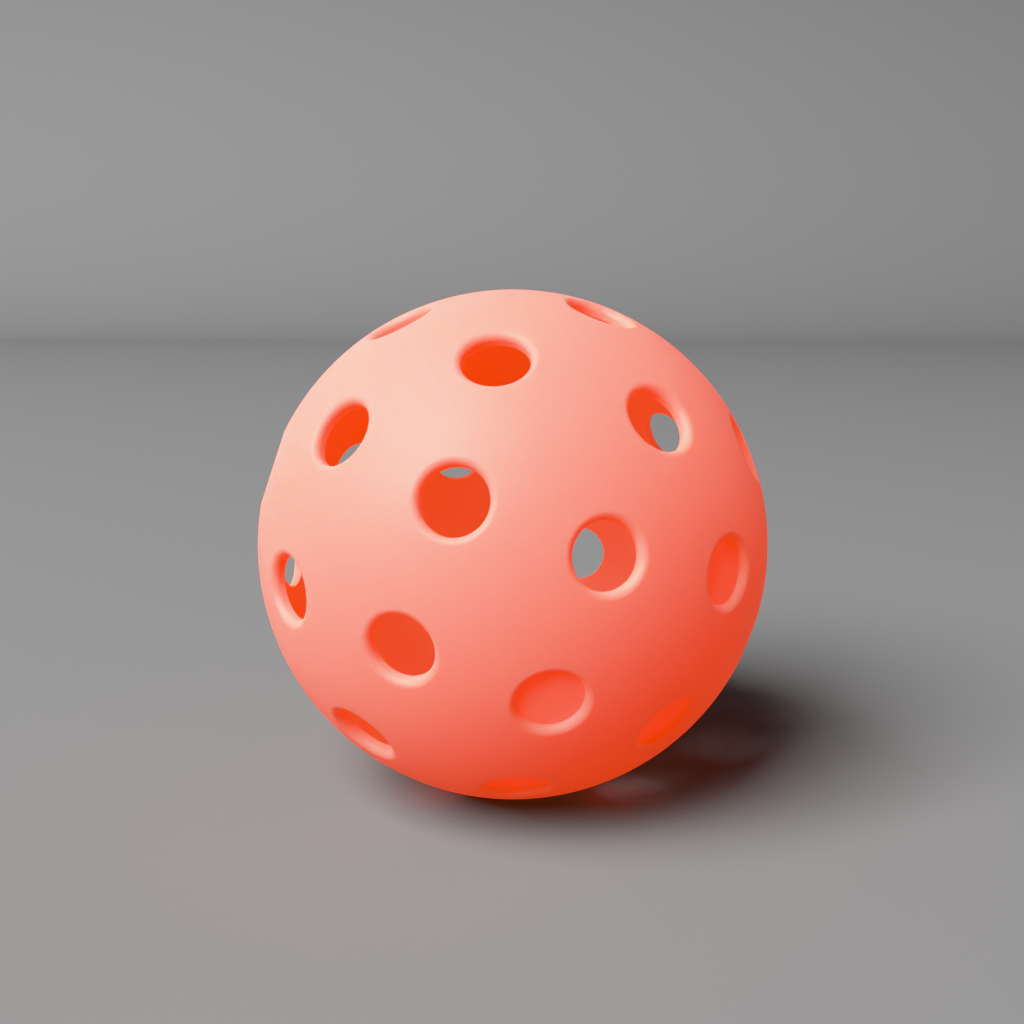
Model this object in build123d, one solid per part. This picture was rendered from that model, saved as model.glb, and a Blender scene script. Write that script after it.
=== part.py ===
from build123d import *
import math
import os

# An outdoor pickleball, in millimetres. The centre of the ball is the origin, +Z is up, and the Y axis
# runs through the poles of the two moulded half shells: the front half is on the -Y side.

# Driving dimensions
BALL_DIAMETER = 74.0
WALL = 1.8
HOLE_DIAMETER = 8.8
RIM_ROUND = 1.0         # radius of the rounded outer rim of every hole
RECESS_DEPTH = 1.5      # from the top of the ball's curve over a closed recess down to its flat floor
RECESS_CORNER = 0.08    # radius of the corner where a recess's side meets its floor

# Hole pattern of one half: (angle from the pole, number of holes, turn of the first hole within the ring)
RINGS = ((22.6, 4, 0.0), (52.0, 8, 22.5), (80.6, 8, 0.0))
FRONT_TURN = -25.2      # turn of the front half's pattern about the poles, clockwise as seen from the front
REAR_TURN = 39.0        # the same for the rear half, also as seen from the front
CLOSED = {(0, 2), (1, 2), (1, 3), (1, 4)}   # (ring, hole) places of the front half that are closed recesses

# Lapped joint between the halves, and the weld bead that fills its outer groove
LAP_LENGTH = 1.0        # how far the front half's inner lip reaches into the rear half
LAP_SHARE = 0.5         # share of the wall that the inner lip takes
BEAD_WIDTH = 0.7
BEAD_DEPTH = 0.45

# Worked out from the above
BALL_RADIUS = BALL_DIAMETER / 2
INNER_RADIUS = BALL_RADIUS - WALL
LAP_RADIUS = INNER_RADIUS + WALL * LAP_SHARE
GROOVE_RADIUS = BALL_RADIUS - BEAD_DEPTH
HOLE_RADIUS = HOLE_DIAMETER / 2
RIM_HEIGHT = math.sqrt(BALL_RADIUS**2 - HOLE_RADIUS**2)     # from the centre to the plane of a hole's edge
FLOOR_HEIGHT = BALL_RADIUS - RECESS_DEPTH                   # from the centre to a recess's floor
OVERCUT = 5.0           # how far a cutter runs past the walls
START_MERIDIAN = 90.0   # turn of the +X axis, where an outline drawn in the XY plane starts its sweep
CLEAR_MERIDIAN = 55.1   # turn, from a half's first hole, of a line from pole to equator that meets no hole


def hole_direction(angle, turn, front):
    """Unit vector from the ball's centre through a hole, from its angle to the pole and its turn about it."""
    polar = math.radians(angle)
    around = math.radians(turn)
    along = -math.cos(polar) if front else math.cos(polar)
    return Vector(math.sin(polar) * math.sin(around), along, math.sin(polar) * math.cos(around))


def on_sphere(radius, height):
    """The point of a sphere's outline at a height along the Y axis."""
    return (math.sqrt(radius**2 - height**2), height)


def turned(lines, angle):
    """The solid swept by a closed outline about the Y axis, with its start turned to a clear meridian."""
    return Rot(0, angle - START_MERIDIAN, 0) * revolve(make_face(lines), Axis.Y)


def half_wall(side, angle):
    """The wall of one half, without holes: side is -1 for the front half and 1 for the rear half."""
    pole = (0, side * BALL_RADIUS)
    inner_pole = (0, side * INNER_RADIUS)
    groove_top = on_sphere(BALL_RADIUS, side * BEAD_WIDTH / 2)
    lip_foot = on_sphere(INNER_RADIUS, LAP_LENGTH)
    outside = ThreePointArc(pole, on_sphere(BALL_RADIUS, side * BALL_RADIUS / 2), groove_top)
    joint = Polyline(
        groove_top,
        (GROOVE_RADIUS, side * BEAD_WIDTH / 2),
        (GROOVE_RADIUS, 0),
        (LAP_RADIUS, 0),
        (LAP_RADIUS, LAP_LENGTH),
        lip_foot,
    )
    inside = ThreePointArc(lip_foot, on_sphere(INNER_RADIUS, side * INNER_RADIUS / 2), inner_pole)
    return turned(outside + joint + inside + Line(inner_pole, pole), angle)


def weld_bead():
    """The ring of weld plastic that fills the groove around the equator, trimmed flush with the ball."""
    half_width = BEAD_WIDTH / 2
    low = on_sphere(BALL_RADIUS, -half_width)
    high = on_sphere(BALL_RADIUS, half_width)
    outside = ThreePointArc(low, (BALL_RADIUS, 0), high)
    sides = Polyline(high, (GROOVE_RADIUS, half_width), (GROOVE_RADIUS, -half_width), low)
    return turned(outside + sides, START_MERIDIAN)


def cutter(direction, bottom):
    """A cylinder along a hole's axis, from a given distance to the centre outwards."""
    length = BALL_RADIUS + OVERCUT - bottom
    plane = Plane(origin=direction * bottom, z_dir=direction)
    return plane * Cylinder(HOLE_RADIUS, length, align=(Align.CENTER, Align.CENTER, Align.MIN))


def edge_at(shell, direction, height):
    """The hole's circular edge at a height along its axis: the edge whose centre is nearest to it."""
    centre = direction * height
    return min(shell.edges(), key=lambda edge: (edge.center(CenterOf.MASS) - centre).length)


def half_shell(side, turn):
    """One moulded half: its wall, its holes and closed recesses, and their rounded rims."""
    front = side < 0
    shell = half_wall(side, turn + CLEAR_MERIDIAN)
    rims = []
    corners = []
    for ring, (angle, count, start) in enumerate(RINGS):
        for hole in range(count):
            direction = hole_direction(angle, turn + start + hole * 360 / count, front)
            rims.append(direction)
            if front and (ring, hole) in CLOSED:
                corners.append(direction)
                shell = shell - cutter(direction, FLOOR_HEIGHT)
            else:
                shell = shell - cutter(direction, INNER_RADIUS - OVERCUT)
    for direction in rims:
        shell = fillet(edge_at(shell, direction, RIM_HEIGHT), RIM_ROUND)
    for direction in corners:
        shell = fillet(edge_at(shell, direction, FLOOR_HEIGHT), RECESS_CORNER)
    return shell


pieces = {
    "front_half_shell": half_shell(-1, FRONT_TURN),
    "rear_half_shell": half_shell(1, REAR_TURN),
    "weld_bead": weld_bead(),
}

os.makedirs("parts", exist_ok=True)
for name, piece in pieces.items():
    piece.label = name
    export_step(piece, f"parts/{name}.step")
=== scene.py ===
import math

import bpy
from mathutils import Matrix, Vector
from mathutils.geometry import delaunay_2d_cdt


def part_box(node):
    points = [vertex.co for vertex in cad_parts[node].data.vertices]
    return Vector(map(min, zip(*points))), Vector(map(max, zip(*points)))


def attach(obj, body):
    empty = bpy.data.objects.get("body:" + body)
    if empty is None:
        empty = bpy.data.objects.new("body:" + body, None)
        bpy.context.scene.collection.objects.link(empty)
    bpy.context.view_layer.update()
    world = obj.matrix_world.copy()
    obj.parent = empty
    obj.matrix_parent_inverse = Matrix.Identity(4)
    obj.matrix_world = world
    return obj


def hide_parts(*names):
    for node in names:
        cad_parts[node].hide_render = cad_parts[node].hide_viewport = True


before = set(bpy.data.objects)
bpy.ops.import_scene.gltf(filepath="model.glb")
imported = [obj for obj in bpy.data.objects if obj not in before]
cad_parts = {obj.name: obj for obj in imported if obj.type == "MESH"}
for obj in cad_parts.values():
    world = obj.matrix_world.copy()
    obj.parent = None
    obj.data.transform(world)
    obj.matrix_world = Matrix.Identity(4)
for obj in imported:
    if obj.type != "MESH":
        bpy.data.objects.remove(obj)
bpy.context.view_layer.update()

# The ball, in metres. Its radius, the bead's width and the lap's length come from the frame, and the rest is
# the pattern of its moulds.
MM = 0.001
BALL_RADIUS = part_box("weld_bead")[1][0]
WALL = 1.8 * MM
INNER_RADIUS = BALL_RADIUS - WALL
HOLE_RADIUS = 4.4 * MM
RIM_ROUND = 1.0 * MM
RECESS_DEPTH = 1.5 * MM
RECESS_CORNER = 0.08 * MM
RINGS = ((22.6, 4, 0.0), (52.0, 8, 22.5), (80.6, 8, 0.0))   # angle from the pole, holes, first hole's turn
FRONT_TURN = -25.2
REAR_TURN = 39.0
CLOSED = {(0, 2), (1, 2), (1, 3), (1, 4)}                   # (ring, hole) places of the closed recesses
BEAD_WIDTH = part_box("weld_bead")[1][1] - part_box("weld_bead")[0][1]
BEAD_DEPTH = 0.45 * MM
GROOVE_RADIUS = BALL_RADIUS - BEAD_DEPTH
LAP_RADIUS = INNER_RADIUS + WALL / 2
LAP_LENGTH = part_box("front_half_shell")[1][1]
POLES = Vector((0.0, 1.0, 0.0))                             # from the front half's pole to the rear half's

# Fineness of the meshes
HOLE_SIDES = 72
EQUATOR_SIDES = 288
SKIN_STEP = math.radians(2.0)           # between neighbouring points of a sphere's skin
SKIN_MARGIN = SKIN_STEP / 3             # the least angle from a hole's edge to a point of the skin
RIM_STEPS = 12
CORNER_STEPS = 3
FLOOR_RINGS = 3
PARALLEL = 0.01                         # the sine under which two directions count as parallel
MERGE_DISTANCE = 1e-9                   # points of the flattened skin that are closer than this are one
WHOLE_HULL = 0                          # the triangulation's output that keeps every triangle

# The camera
CAMERA_DISTANCE = 5.08                  # ball radii
CAMERA_AZIMUTH = 2.0                    # degrees
CAMERA_ELEVATION = 12.3
LENS = 44.63                            # millimetres
SHIFT = (-0.0008, 0.0317)               # shares of the picture's width
CLIP_START = 0.01                       # metres

# The shell's neon orange plastic. The glow is painted light: an orange emission that stands in for the light
# which shines through the wall from inside the ball. The scatter is how far red, green and blue light travel
# inside: red crosses the wall and fills the ball.
SHELL_COLOUR = (0.94, 0.20, 0.18)
SHELL_ROUGHNESS = 0.6
WELD_COLOUR = (0.92, 0.19, 0.17)
WELD_ROUGHNESS = 0.65
SPECULAR_LEVEL = 0.35
PAINTED_GLOW_COLOUR = (1.0, 0.12, 0.0)
PAINTED_GLOW_STRENGTH = 0.34
SCATTER_SHARES = (1.0, 0.09, 0.04)
SCATTER_LENGTH = 11 * MM
TINT_SCALE = 60.0
TINT_SHARE = 0.94
PEEL_SCALE = 700.0
PEEL_STRENGTH = 0.04
PEEL_DEPTH = 0.1 * MM

# The studio, in metres and watts
FLOOR_GREY = 0.17
BACKDROP_GREY = 0.21
STAGE_ROUGHNESS = 0.95
STAGE_HALF_WIDTH = 2.5
STAGE_FRONT = 2.0
STAGE_REACH = 1.2
STAGE_BEND = 0.5
STAGE_TOP = 2.0
BEND_STEPS = 120
WORLD_STRENGTH = 0.01
WORLD_GREY = 0.32                       # what the camera sees past the stage
KEY_DIRECTION = (-0.50, 0.60, 0.66)     # right, up and towards the camera
KEY_DISTANCE = 3.0
KEY_SIZE = 2.0
KEY_POWER = 262.0
REAR_DIRECTION = (0.80, 0.30, -0.60)
REAR_DISTANCE = 3.0
REAR_SIZE = 1.5
REAR_POWER = 30.0

# A film's soft shoulder: (light, picture) pairs, straight up to 0.7 and then bending towards 0.95 at WHITE
WHITE = 2.0
COMBINED_CURVE = 3                      # the curve for all colours, after those for red, green and blue
SHOULDER = ((0.35, 0.35), (0.7, 0.7), (1.0, 0.83), (1.5, 0.92), (WHITE, 0.95))


class Surface:
    """Vertices, faces and one normal per face corner, gathered before they become a mesh."""

    def __init__(self):
        self.points = []
        self.faces = []
        self.normals = []

    def loop(self, points):
        """Add points and return their indices."""
        first = len(self.points)
        self.points.extend(points)
        return list(range(first, len(self.points)))

    def face(self, corners, normals):
        """Add a face, turned over if its winding disagrees with its normals."""
        a, b, c = (self.points[i] for i in corners[:3])
        if (b - a).cross(c - a).dot(normals[0]) < 0:
            corners = corners[::-1]
            normals = normals[::-1]
        self.faces.append(corners)
        self.normals.extend(normals)

    def bridge(self, low, high, low_normals, high_normals):
        """Join two closed loops of the same length with a band of quads."""
        count = len(low)
        for i in range(count):
            j = (i + 1) % count
            self.face(
                [low[i], low[j], high[j], high[i]],
                [low_normals[i], low_normals[j], high_normals[j], high_normals[i]],
            )

    def build(self, name):
        """Make the mesh object, with its own corner normals."""
        mesh = bpy.data.meshes.new(name)
        mesh.from_pydata([p[:] for p in self.points], [], self.faces)
        mesh.polygons.foreach_set("use_smooth", [True] * len(mesh.polygons))
        mesh.normals_split_custom_set([n[:] for n in self.normals])
        piece = bpy.data.objects.new(name, mesh)
        bpy.context.collection.objects.link(piece)
        return piece


def direction_at(angle, turn, side):
    """Unit vector at an angle to the pole of a half and a turn about it, in degrees."""
    polar = math.radians(angle)
    around = math.radians(turn)
    return Vector((
        math.sin(polar) * math.sin(around),
        side * math.cos(polar),
        math.sin(polar) * math.cos(around),
    ))


def across(direction):
    """Two unit vectors square to a direction and to each other."""
    first = direction.cross(POLES)
    if first.length < PARALLEL:
        first = direction.cross(Vector((1.0, 0.0, 0.0)))
    first.normalize()
    return first, direction.cross(first)


def circle(axis, out, along, sides):
    """Points of a circle about an axis: out from it, and along it from the origin."""
    first, second = across(axis)
    points = []
    for i in range(sides):
        turn = 2 * math.pi * i / sides
        points.append(axis * along + (first * math.cos(turn) + second * math.sin(turn)) * out)
    return points


def rim_profile(closed):
    """Stations of a hole's side from the skin inwards: (out, along, normal out, normal along)."""
    centre_out = HOLE_RADIUS + RIM_ROUND
    tilt = math.asin(centre_out / (BALL_RADIUS - RIM_ROUND))
    centre_along = (BALL_RADIUS - RIM_ROUND) * math.cos(tilt)
    stations = []
    for i in range(RIM_STEPS + 1):
        turn = tilt - (tilt + math.pi / 2) * i / RIM_STEPS
        out, along = math.sin(turn), math.cos(turn)
        stations.append((centre_out + RIM_ROUND * out, centre_along + RIM_ROUND * along, out, along))
    if not closed:
        stations.append((HOLE_RADIUS, math.sqrt(INNER_RADIUS**2 - HOLE_RADIUS**2), -1.0, 0.0))
        return stations
    floor = BALL_RADIUS - RECESS_DEPTH
    for i in range(CORNER_STEPS + 1):
        turn = math.pi / 2 * i / CORNER_STEPS
        out, along = math.cos(turn), math.sin(turn)
        stations.append((
            HOLE_RADIUS - RECESS_CORNER * (1 - out),
            floor + RECESS_CORNER * (1 - along),
            -out,
            along,
        ))
    for i in range(1, FLOOR_RINGS):
        stations.append(((HOLE_RADIUS - RECESS_CORNER) * (1 - i / FLOOR_RINGS), floor, 0.0, 1.0))
    return stations


def sweep(surface, axis, stations, sides):
    """Turn a profile about an axis. Returns the first and last loops."""
    loops = []
    normals = []
    for out, along, normal_out, normal_along in stations:
        loops.append(surface.loop(circle(axis, out, along, sides)))
        normals.append(circle(axis, normal_out, normal_along, sides))
    for k in range(len(loops) - 1):
        surface.bridge(loops[k], loops[k + 1], normals[k], normals[k + 1])
    return loops[0], loops[-1]


def skin(surface, radius, side, outward, edge, holes):
    """Fill one half of a sphere between its edge loop and its hole loops.

    outward is 1 for the outside of the wall and -1 for its inside. holes are (direction, angle, loop).
    """
    def flat(point):
        unit = point.normalized()
        return Vector((unit.x, unit.z)) / (1 + side * unit.y)

    heights = [side * surface.points[i].normalized().y for i in edge]
    limit = min(math.acos(max(-1.0, min(1.0, height))) for height in heights)
    scattered = [Vector((0.0, side * radius, 0.0))]
    rows = int(limit / SKIN_STEP)
    for row in range(1, rows + 1):
        polar = math.degrees(limit) * row / (rows + 1)
        count = round(2 * math.pi * math.sin(math.radians(polar)) / SKIN_STEP)
        for i in range(count):
            point = direction_at(polar, 360 * (i + row / 2) / count, side)
            if all(point.angle(direction) > angle + SKIN_MARGIN for direction, angle, _ in holes):
                scattered.append(point * radius)
    loops = [edge] + [loop for _, _, loop in holes]
    known = [i for loop in loops for i in loop] + surface.loop(scattered)
    where = {index: place for place, index in enumerate(known)}
    ties = [(where[a], where[b]) for loop in loops for a, b in zip(loop, loop[1:] + loop[:1])]
    flattened = [flat(surface.points[i]) for i in known]
    _, _, triangles, sources, _, _ = delaunay_2d_cdt(flattened, ties, [], WHOLE_HULL, MERGE_DISTANCE)
    same = [known[origins[0]] for origins in sources]
    edge_flat = max(flat(surface.points[i]).length for i in edge)
    covered = math.cos(math.pi / HOLE_SIDES)    # share of a hole's angle that its polygon covers all round
    for corners in triangles:
        indices = [same[c] for c in corners]
        centre = sum((surface.points[i] for i in indices), Vector()) / len(indices)
        if any(centre.angle(direction) < angle * covered for direction, angle, _ in holes):
            continue
        if flat(centre).length > edge_flat:
            continue
        surface.face(indices, [surface.points[i].normalized() * outward for i in indices])


def on_sphere(radius, height):
    """(out, along) of a sphere's outline at a height on the Y axis."""
    return (math.sqrt(radius**2 - height**2), height)


def flat_bands(outline, outward):
    """Stations for a profile of straight runs, with a sharp corner between one run and the next.

    outward is 1 or -1, and says which side of the runs faces out of the plastic.
    """
    bands = []
    for (out_a, along_a), (out_b, along_b) in zip(outline, outline[1:]):
        run = Vector((out_b - out_a, along_b - along_a)).normalized()
        normal = (run.y * outward, -run.x * outward)
        bands.append(((out_a, along_a, *normal), (out_b, along_b, *normal)))
    return bands


def half_shell(name, side, turn):
    """One moulded half with its holes, its closed recesses and its part of the lapped joint."""
    surface = Surface()
    outer_holes = []
    inner_holes = []
    for ring, (angle, count, start) in enumerate(RINGS):
        for hole in range(count):
            direction = direction_at(angle, turn + start + hole * 360 / count, side)
            closed = side < 0 and (ring, hole) in CLOSED
            stations = rim_profile(closed)
            first, last = sweep(surface, direction, stations, HOLE_SIDES)
            outer_holes.append((direction, math.asin(stations[0][0] / BALL_RADIUS), first))
            if closed:
                surface.face(last, [direction] * HOLE_SIDES)
            else:
                inner_holes.append((direction, math.asin(HOLE_RADIUS / INNER_RADIUS), last))
    outline = (
        on_sphere(BALL_RADIUS, side * BEAD_WIDTH / 2),
        (GROOVE_RADIUS, side * BEAD_WIDTH / 2),
        (GROOVE_RADIUS, 0.0),
        (LAP_RADIUS, 0.0),
        (LAP_RADIUS, LAP_LENGTH),
        on_sphere(INNER_RADIUS, LAP_LENGTH),
    )
    loops = [surface.loop(circle(POLES, out, along, EQUATOR_SIDES)) for out, along in outline]
    for k, (a, b) in enumerate(flat_bands(outline, -side)):
        surface.bridge(
            loops[k],
            loops[k + 1],
            circle(POLES, a[2], a[3], EQUATOR_SIDES),
            circle(POLES, b[2], b[3], EQUATOR_SIDES),
        )
    skin(surface, BALL_RADIUS, side, 1, loops[0], outer_holes)
    skin(surface, INNER_RADIUS, side, -1, loops[-1], inner_holes)
    return surface.build(name)


def weld_ring(name):
    """The trimmed weld bead, flush with the ball."""
    surface = Surface()
    half = BEAD_WIDTH / 2
    crown = []
    for height in (-half, 0.0, half):
        out = on_sphere(BALL_RADIUS, height)[0]
        crown.append((out, height, out / BALL_RADIUS, height / BALL_RADIUS))
    first, last = sweep(surface, POLES, crown, EQUATOR_SIDES)
    low = surface.loop(circle(POLES, GROOVE_RADIUS, -half, EQUATOR_SIDES))
    high = surface.loop(circle(POLES, GROOVE_RADIUS, half, EQUATOR_SIDES))
    for a, b, normal in ((first, low, (0.0, -1.0)), (last, high, (0.0, 1.0)), (low, high, (-1.0, 0.0))):
        normals = circle(POLES, normal[0], normal[1], EQUATOR_SIDES)
        surface.bridge(a, b, normals, normals)
    return surface.build(name)


def plastic(name, colour, roughness):
    """Satin orange plastic, a little translucent, with the faint orange-peel of a moulded surface and an
    orange glow of painted light.
    """
    material = bpy.data.materials.new(name)
    material.use_nodes = True
    nodes = material.node_tree.nodes
    links = material.node_tree.links
    shader = nodes["Principled BSDF"]
    shader.inputs["Roughness"].default_value = roughness
    shader.inputs["Specular IOR Level"].default_value = SPECULAR_LEVEL
    # Painted light: the orange glow stands in for the light that shines through the wall from inside the
    # ball.
    shader.inputs["Emission Color"].default_value = (*PAINTED_GLOW_COLOUR, 1.0)
    shader.inputs["Emission Strength"].default_value = PAINTED_GLOW_STRENGTH
    shader.inputs["Subsurface Weight"].default_value = 1.0
    shader.inputs["Subsurface Radius"].default_value = SCATTER_SHARES
    shader.inputs["Subsurface Scale"].default_value = SCATTER_LENGTH
    place = nodes.new("ShaderNodeTexCoord")
    tint_noise = nodes.new("ShaderNodeTexNoise")
    tint_noise.inputs["Scale"].default_value = TINT_SCALE
    tint = nodes.new("ShaderNodeMix")
    tint.data_type = "RGBA"
    tint.inputs["A"].default_value = (*colour, 1.0)
    tint.inputs["B"].default_value = (*[c * TINT_SHARE for c in colour], 1.0)
    links.new(place.outputs["Object"], tint_noise.inputs["Vector"])
    links.new(tint_noise.outputs["Fac"], tint.inputs["Factor"])
    links.new(tint.outputs["Result"], shader.inputs["Base Color"])
    peel = nodes.new("ShaderNodeTexNoise")
    peel.inputs["Scale"].default_value = PEEL_SCALE
    bump = nodes.new("ShaderNodeBump")
    bump.inputs["Strength"].default_value = PEEL_STRENGTH
    bump.inputs["Distance"].default_value = PEEL_DEPTH
    links.new(place.outputs["Object"], peel.inputs["Vector"])
    links.new(peel.outputs["Fac"], bump.inputs["Height"])
    links.new(bump.outputs["Normal"], shader.inputs["Normal"])
    return material


def stage_grey(near, far):
    """Matt grey paper, a little paler towards the backdrop, which the key light reaches less."""
    material = bpy.data.materials.new("stage_grey")
    material.use_nodes = True
    nodes = material.node_tree.nodes
    links = material.node_tree.links
    shader = nodes["Principled BSDF"]
    shader.inputs["Roughness"].default_value = STAGE_ROUGHNESS
    shader.inputs["Specular IOR Level"].default_value = 0.0
    place = nodes.new("ShaderNodeTexCoord")
    split = nodes.new("ShaderNodeSeparateXYZ")
    depth = nodes.new("ShaderNodeMapRange")
    depth.inputs["From Min"].default_value = near
    depth.inputs["From Max"].default_value = far
    depth.interpolation_type = "SMOOTHSTEP"
    grey = nodes.new("ShaderNodeMix")
    grey.data_type = "RGBA"
    grey.inputs["A"].default_value = (*[FLOOR_GREY] * 3, 1.0)
    grey.inputs["B"].default_value = (*[BACKDROP_GREY] * 3, 1.0)
    links.new(place.outputs["Object"], split.inputs["Vector"])
    links.new(split.outputs["Y"], depth.inputs["Value"])
    links.new(depth.outputs["Result"], grey.inputs["Factor"])
    links.new(grey.outputs["Result"], shader.inputs["Base Color"])
    return material


def view_basis():
    """The camera's right, up and towards-the-camera directions."""
    azimuth = math.radians(CAMERA_AZIMUTH)
    elevation = math.radians(CAMERA_ELEVATION)
    towards = Vector((
        math.sin(azimuth) * math.cos(elevation),
        -math.cos(azimuth) * math.cos(elevation),
        math.sin(elevation),
    ))
    right = Vector((math.cos(azimuth), math.sin(azimuth), 0.0))
    return right, towards.cross(right), towards


RIGHT, UP, TOWARDS = view_basis()


def add_camera():
    """The camera looks at the ball's centre from the photographed angle."""
    data = bpy.data.cameras.new("camera")
    data.lens = LENS
    data.shift_x, data.shift_y = SHIFT
    data.clip_start = CLIP_START
    camera = bpy.data.objects.new("camera", data)
    camera.location = TOWARDS * CAMERA_DISTANCE * BALL_RADIUS
    camera.rotation_euler = TOWARDS.to_track_quat("Z", "Y").to_euler()
    bpy.context.collection.objects.link(camera)
    bpy.context.scene.camera = camera


def add_softbox(name, direction, distance, size, power):
    """A square soft light, aimed at the ball. direction is (right, up, towards the camera)."""
    data = bpy.data.lights.new(name, "AREA")
    data.size = size
    data.energy = power
    light = bpy.data.objects.new(name, data)
    place = (RIGHT * direction[0] + UP * direction[1] + TOWARDS * direction[2]).normalized()
    light.location = place * distance
    light.rotation_euler = place.to_track_quat("Z", "Y").to_euler()
    bpy.context.collection.objects.link(light)


def add_stage():
    """A grey floor under the ball that curves up into a backdrop. The ball reflects it only as gloss."""
    surface = Surface()
    floor = -BALL_RADIUS
    far = STAGE_REACH + STAGE_BEND
    outline = [(-STAGE_FRONT, floor), (STAGE_REACH, floor)]
    for i in range(1, BEND_STEPS + 1):
        turn = math.pi / 2 * i / BEND_STEPS
        reach = STAGE_REACH + STAGE_BEND * math.sin(turn)
        height = floor + STAGE_BEND * (1 - math.cos(turn))
        outline.append((reach, height))
    outline.append((far, STAGE_TOP))
    left = surface.loop([Vector((-STAGE_HALF_WIDTH, y, z)) for y, z in outline])
    right = surface.loop([Vector((STAGE_HALF_WIDTH, y, z)) for y, z in outline])
    for k in range(len(outline) - 1):
        run = (surface.points[left[k + 1]] - surface.points[left[k]]).normalized()
        normal = Vector((1.0, 0.0, 0.0)).cross(run)
        surface.face([left[k], right[k], right[k + 1], left[k + 1]], [normal] * 4)
    stage = surface.build("stage")
    stage.data.materials.append(stage_grey(0.0, far))
    stage.visible_diffuse = False


def add_world():
    """Faint white light from all around, which the camera itself sees as a plain grey."""
    world = bpy.data.worlds.new("world")
    world.use_nodes = True
    nodes = world.node_tree.nodes
    links = world.node_tree.links
    background = nodes["Background"]
    background.inputs["Color"].default_value = (1.0, 1.0, 1.0, 1.0)
    path = nodes.new("ShaderNodeLightPath")
    strength = nodes.new("ShaderNodeMix")
    strength.inputs["A"].default_value = WORLD_STRENGTH
    strength.inputs["B"].default_value = WORLD_GREY
    links.new(path.outputs["Is Camera Ray"], strength.inputs["Factor"])
    links.new(strength.outputs["Result"], background.inputs["Strength"])
    bpy.context.scene.world = world


def add_shoulder():
    """Bend the brightest light over softly, as film does, so that bright orange keeps its colour."""
    settings = bpy.context.scene.view_settings
    settings.view_transform = "Standard"
    settings.use_curve_mapping = True
    mapping = settings.curve_mapping
    mapping.white_level = (WHITE, WHITE, WHITE)
    points = mapping.curves[COMBINED_CURVE].points
    points[0].location = (0.0, 0.0)
    points[1].location = (1.0, SHOULDER[-1][1])
    for light, picture in SHOULDER[:-1]:
        points.new(light / WHITE, picture)
    mapping.update()


add_camera()
add_shoulder()
add_stage()
add_world()
add_softbox("key", KEY_DIRECTION, KEY_DISTANCE, KEY_SIZE, KEY_POWER)
add_softbox("rear", REAR_DIRECTION, REAR_DISTANCE, REAR_SIZE, REAR_POWER)

shell_plastic = plastic("shell_plastic", SHELL_COLOUR, SHELL_ROUGHNESS)
weld_plastic = plastic("weld_plastic", WELD_COLOUR, WELD_ROUGHNESS)

front = half_shell("front_half_visual", -1, FRONT_TURN)
rear = half_shell("rear_half_visual", 1, REAR_TURN)
bead = weld_ring("weld_bead_visual")
for piece, node, material, slot in (
    (front, "front_half_shell", shell_plastic, "shell_plastic"),
    (rear, "rear_half_shell", shell_plastic, "shell_plastic"),
    (bead, "weld_bead", weld_plastic, "weld_plastic"),
):
    piece.data.materials.append(material)
    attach(piece, "root")
    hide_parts(node)
